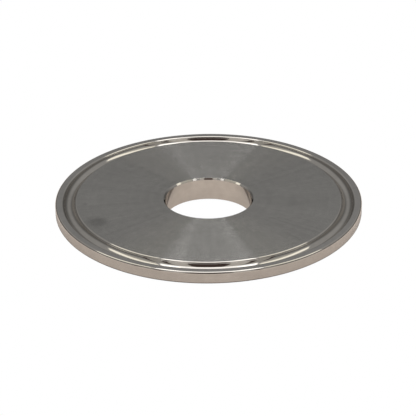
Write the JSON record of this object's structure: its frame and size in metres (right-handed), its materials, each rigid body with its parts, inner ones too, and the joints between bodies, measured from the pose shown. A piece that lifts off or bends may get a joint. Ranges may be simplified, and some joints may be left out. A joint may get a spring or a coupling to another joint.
{
  "type": "sanitary clamp blind flange",
  "caption": "Flat round stainless steel end plate for a sanitary clamp joint, with a gasket groove near its rim, a tapered back and a plain centre bore.",
  "frame": {"origin": "centre of the flat back face, on the bore's axis", "axes": "+Z along the bore axis, from the back face to the grooved sealing face; +X and +Y are free, because the part is round"},
  "size_m": [0.0776, 0.0776, 0.006],
  "materials": {
    "turned_steel": "satin turned, with fine rings about the axis and brighter rounded edges"
  },
  "bodies": {
    "root": {"flange": "turned_steel"}
  },
  "joints": []
}
